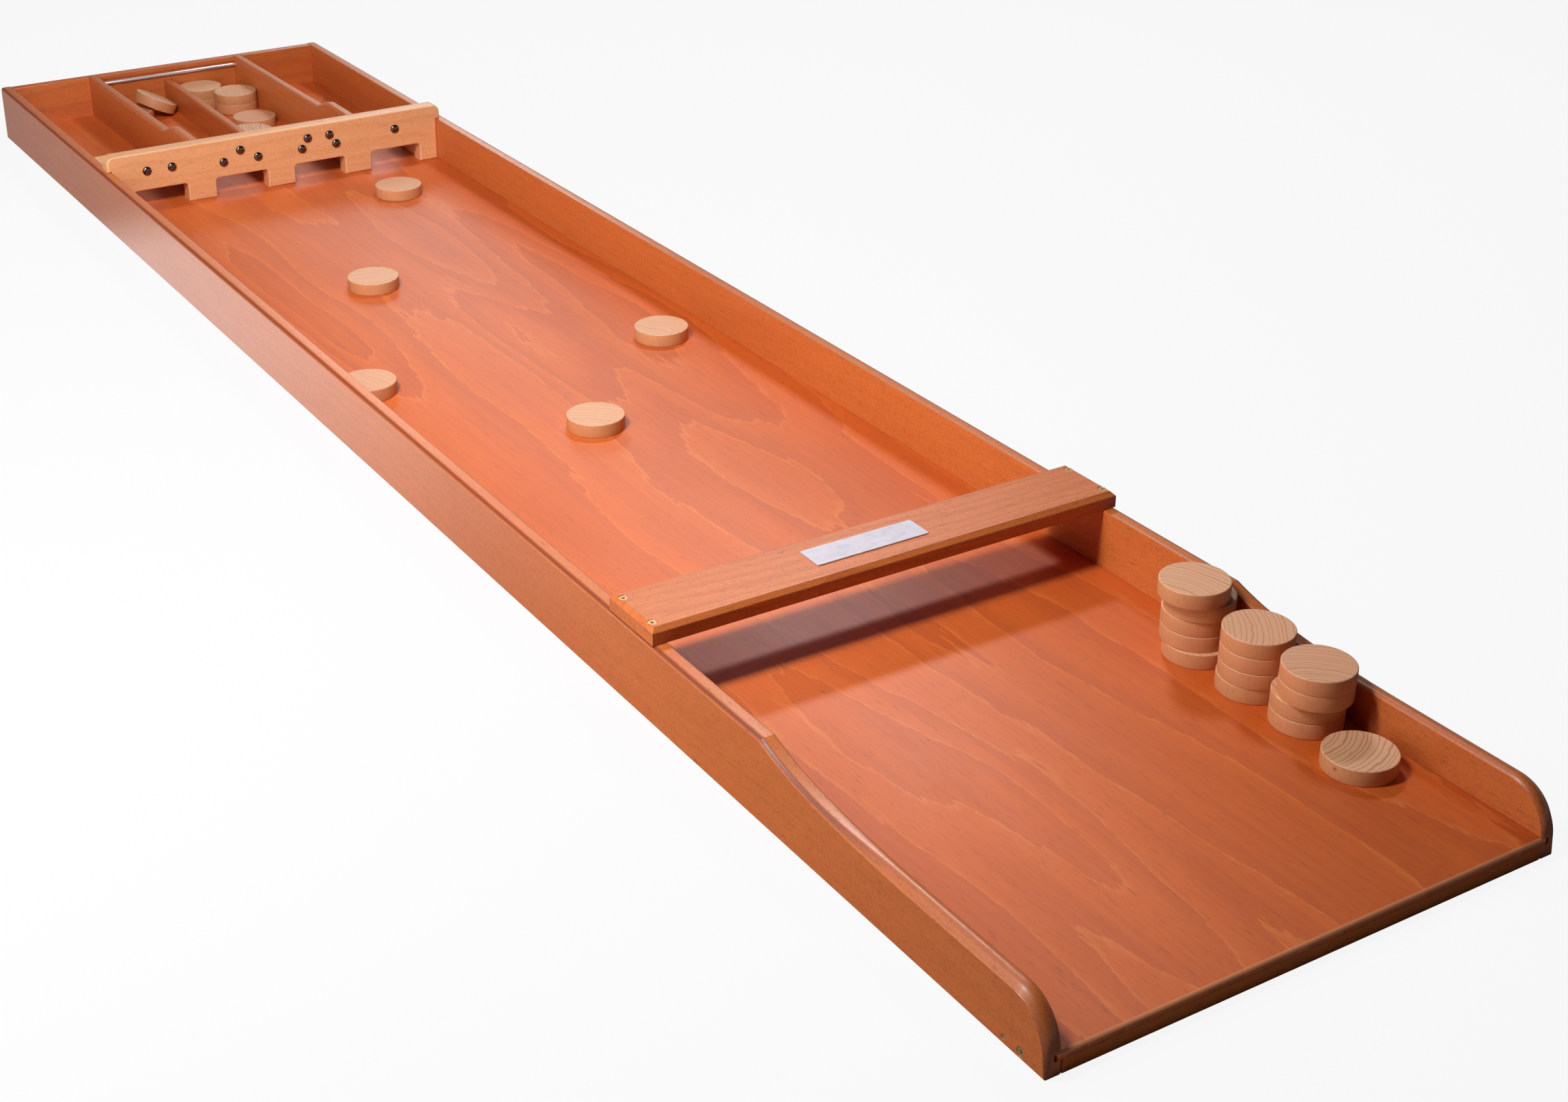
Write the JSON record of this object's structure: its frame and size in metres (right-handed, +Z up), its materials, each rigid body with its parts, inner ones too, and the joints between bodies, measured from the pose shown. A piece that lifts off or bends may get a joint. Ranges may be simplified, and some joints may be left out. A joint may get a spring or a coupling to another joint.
{
  "type": "dutch shuffleboard",
  "caption": "Long wooden shuffleboard tray with a gate board, scoring compartments, a crossbar and loose round discs.",
  "frame": {"origin": "middle of the tray's underside, on the surface that it lies on", "axes": "+Y from the player's end to the gates, +X to the player's right, +Z up"},
  "size_m": [0.405, 2, 0.078],
  "materials": {
    "stained_wood": "satin lacquer over reddish stain, fine straight grain",
    "floor_wood": "satin lacquered veneer, grain along the tray",
    "dark_wood": "dark stain, matte",
    "gate_wood": "clear satin lacquer over pale wood",
    "disc_wood": "smooth, waxed, fine dark flecks",
    "rod_steel": "bright drawn steel",
    "screw_steel": "dull yellowish plating",
    "stud_metal": "dark bronzed, glossy domes",
    "plate_metal": "silver sheet, satin"
  },
  "bodies": {
    "tray": {"left_wall": "stained_wood", "right_wall": "stained_wood", "rear_wall": "stained_wood", "floor_panel": "floor_wood", "front_batten": "dark_wood", "rear_batten": "dark_wood", "cross_batten_1": "dark_wood", "cross_batten_2": "dark_wood", "cross_batten_3": "dark_wood", "crossbar": "stained_wood", "crossbar_screws": "screw_steel", "name_plate": "plate_metal", "gate_board": "gate_wood", "score_studs": "stud_metal", "gate_nails": "screw_steel", "corner_block_left": "gate_wood", "corner_block_right": "gate_wood", "divider_left": "stained_wood", "divider_middle": "stained_wood", "divider_right": "stained_wood", "rear_rod": "rod_steel", "batten_screws": "screw_steel", "batten_nails": "screw_steel"},
    "field_disc_1": {"field_disc_1": "disc_wood"},
    "field_disc_2": {"field_disc_2": "disc_wood"},
    "field_disc_3": {"field_disc_3": "disc_wood"},
    "field_disc_4": {"field_disc_4": "disc_wood"},
    "field_disc_5": {"field_disc_5": "disc_wood"},
    "pile_a_disc_1": {"pile_a_disc_1": "disc_wood"},
    "pile_a_disc_2": {"pile_a_disc_2": "disc_wood"},
    "pile_a_disc_3": {"pile_a_disc_3": "disc_wood"},
    "pile_a_disc_4": {"pile_a_disc_4": "disc_wood"},
    "pile_a_disc_5": {"pile_a_disc_5": "disc_wood"},
    "pile_b_disc_1": {"pile_b_disc_1": "disc_wood"},
    "pile_b_disc_2": {"pile_b_disc_2": "disc_wood"},
    "pile_b_disc_3": {"pile_b_disc_3": "disc_wood"},
    "pile_b_disc_4": {"pile_b_disc_4": "disc_wood"},
    "pile_c_disc_1": {"pile_c_disc_1": "disc_wood"},
    "pile_c_disc_2": {"pile_c_disc_2": "disc_wood"},
    "pile_c_disc_3": {"pile_c_disc_3": "disc_wood"},
    "pile_c_disc_4": {"pile_c_disc_4": "disc_wood"},
    "single_disc": {"single_disc": "disc_wood"},
    "corner_pair_disc_1": {"corner_pair_disc_1": "disc_wood"},
    "corner_pair_disc_2": {"corner_pair_disc_2": "disc_wood"},
    "side_pair_disc_1": {"side_pair_disc_1": "disc_wood"},
    "side_pair_disc_2": {"side_pair_disc_2": "disc_wood"},
    "scored_disc_1": {"scored_disc_1": "disc_wood"},
    "scored_disc_2": {"scored_disc_2": "disc_wood"},
    "lower_disc": {"lower_disc": "disc_wood"},
    "leaning_disc": {"leaning_disc": "disc_wood"}
  },
  "joints": [
    {"name": "field_disc_1_slide", "type": "slide", "parent": "tray", "child": "field_disc_1", "axis": [0, 1, 0], "range_m": [-0.826, 0.368]},
    {"name": "field_disc_2_slide", "type": "slide", "parent": "tray", "child": "field_disc_2", "axis": [0, 1, 0], "range_m": [-0.368, 0.607]},
    {"name": "field_disc_3_slide", "type": "slide", "parent": "tray", "child": "field_disc_3", "axis": [0, 1, 0], "range_m": [-0.6688, 0.4814]},
    {"name": "field_disc_4_slide", "type": "slide", "parent": "tray", "child": "field_disc_4", "axis": [0, 1, 0], "range_m": [-0.997, 0.5685]},
    {"name": "field_disc_5_slide", "type": "slide", "parent": "tray", "child": "field_disc_5", "axis": [0, 1, 0], "range_m": [-0.4812, 0.0712]},
    {"name": "pile_a_disc_1_lift", "type": "slide", "parent": "tray", "child": "pile_a_disc_1", "axis": [0, 0, 1], "range_m": [0, 0.06]},
    {"name": "pile_a_disc_2_lift", "type": "slide", "parent": "pile_a_disc_1", "child": "pile_a_disc_2", "axis": [0, 0, 1], "range_m": [0, 0.06]},
    {"name": "pile_a_disc_3_lift", "type": "slide", "parent": "pile_a_disc_2", "child": "pile_a_disc_3", "axis": [0, 0, 1], "range_m": [0, 0.06]},
    {"name": "pile_a_disc_4_lift", "type": "slide", "parent": "pile_a_disc_3", "child": "pile_a_disc_4", "axis": [0, 0, 1], "range_m": [0, 0.06]},
    {"name": "pile_a_disc_5_lift", "type": "slide", "parent": "pile_a_disc_4", "child": "pile_a_disc_5", "axis": [0, 0, 1], "range_m": [0, 0.06]},
    {"name": "pile_b_disc_1_lift", "type": "slide", "parent": "tray", "child": "pile_b_disc_1", "axis": [0, 0, 1], "range_m": [0, 0.06]},
    {"name": "pile_b_disc_2_lift", "type": "slide", "parent": "pile_b_disc_1", "child": "pile_b_disc_2", "axis": [0, 0, 1], "range_m": [0, 0.06]},
    {"name": "pile_b_disc_3_lift", "type": "slide", "parent": "pile_b_disc_2", "child": "pile_b_disc_3", "axis": [0, 0, 1], "range_m": [0, 0.06]},
    {"name": "pile_b_disc_4_lift", "type": "slide", "parent": "pile_b_disc_3", "child": "pile_b_disc_4", "axis": [0, 0, 1], "range_m": [0, 0.06]},
    {"name": "pile_c_disc_1_lift", "type": "slide", "parent": "tray", "child": "pile_c_disc_1", "axis": [0, 0, 1], "range_m": [0, 0.06]},
    {"name": "pile_c_disc_2_lift", "type": "slide", "parent": "pile_c_disc_1", "child": "pile_c_disc_2", "axis": [0, 0, 1], "range_m": [0, 0.06]},
    {"name": "pile_c_disc_3_lift", "type": "slide", "parent": "pile_c_disc_2", "child": "pile_c_disc_3", "axis": [0, 0, 1], "range_m": [0, 0.06]},
    {"name": "pile_c_disc_4_lift", "type": "slide", "parent": "pile_c_disc_3", "child": "pile_c_disc_4", "axis": [0, 0, 1], "range_m": [0, 0.06]},
    {"name": "single_disc_lift", "type": "slide", "parent": "tray", "child": "single_disc", "axis": [0, 0, 1], "range_m": [0, 0.06]},
    {"name": "corner_pair_disc_1_lift", "type": "slide", "parent": "tray", "child": "corner_pair_disc_1", "axis": [0, 0, 1], "range_m": [0, 0.0055]},
    {"name": "corner_pair_disc_2_lift", "type": "slide", "parent": "corner_pair_disc_1", "child": "corner_pair_disc_2", "axis": [0, 0, 1], "range_m": [0, 0.0055]},
    {"name": "side_pair_disc_1_lift", "type": "slide", "parent": "tray", "child": "side_pair_disc_1", "axis": [0, 0, 1], "range_m": [0, 0.06]},
    {"name": "side_pair_disc_2_lift", "type": "slide", "parent": "side_pair_disc_1", "child": "side_pair_disc_2", "axis": [0, 0, 1], "range_m": [0, 0.06]},
    {"name": "scored_disc_1_lift", "type": "slide", "parent": "tray", "child": "scored_disc_1", "axis": [0, 0, 1], "range_m": [0, 0.06]},
    {"name": "scored_disc_2_lift", "type": "slide", "parent": "tray", "child": "scored_disc_2", "axis": [0, 0, 1], "range_m": [0, 0.06]},
    {"name": "lower_disc_lift", "type": "slide", "parent": "tray", "child": "lower_disc", "axis": [0, 0, 1], "range_m": [0, 0.06]},
    {"name": "leaning_disc_lift", "type": "slide", "parent": "lower_disc", "child": "leaning_disc", "axis": [0, 0, 1], "range_m": [0, 0.06]}
  ]
}
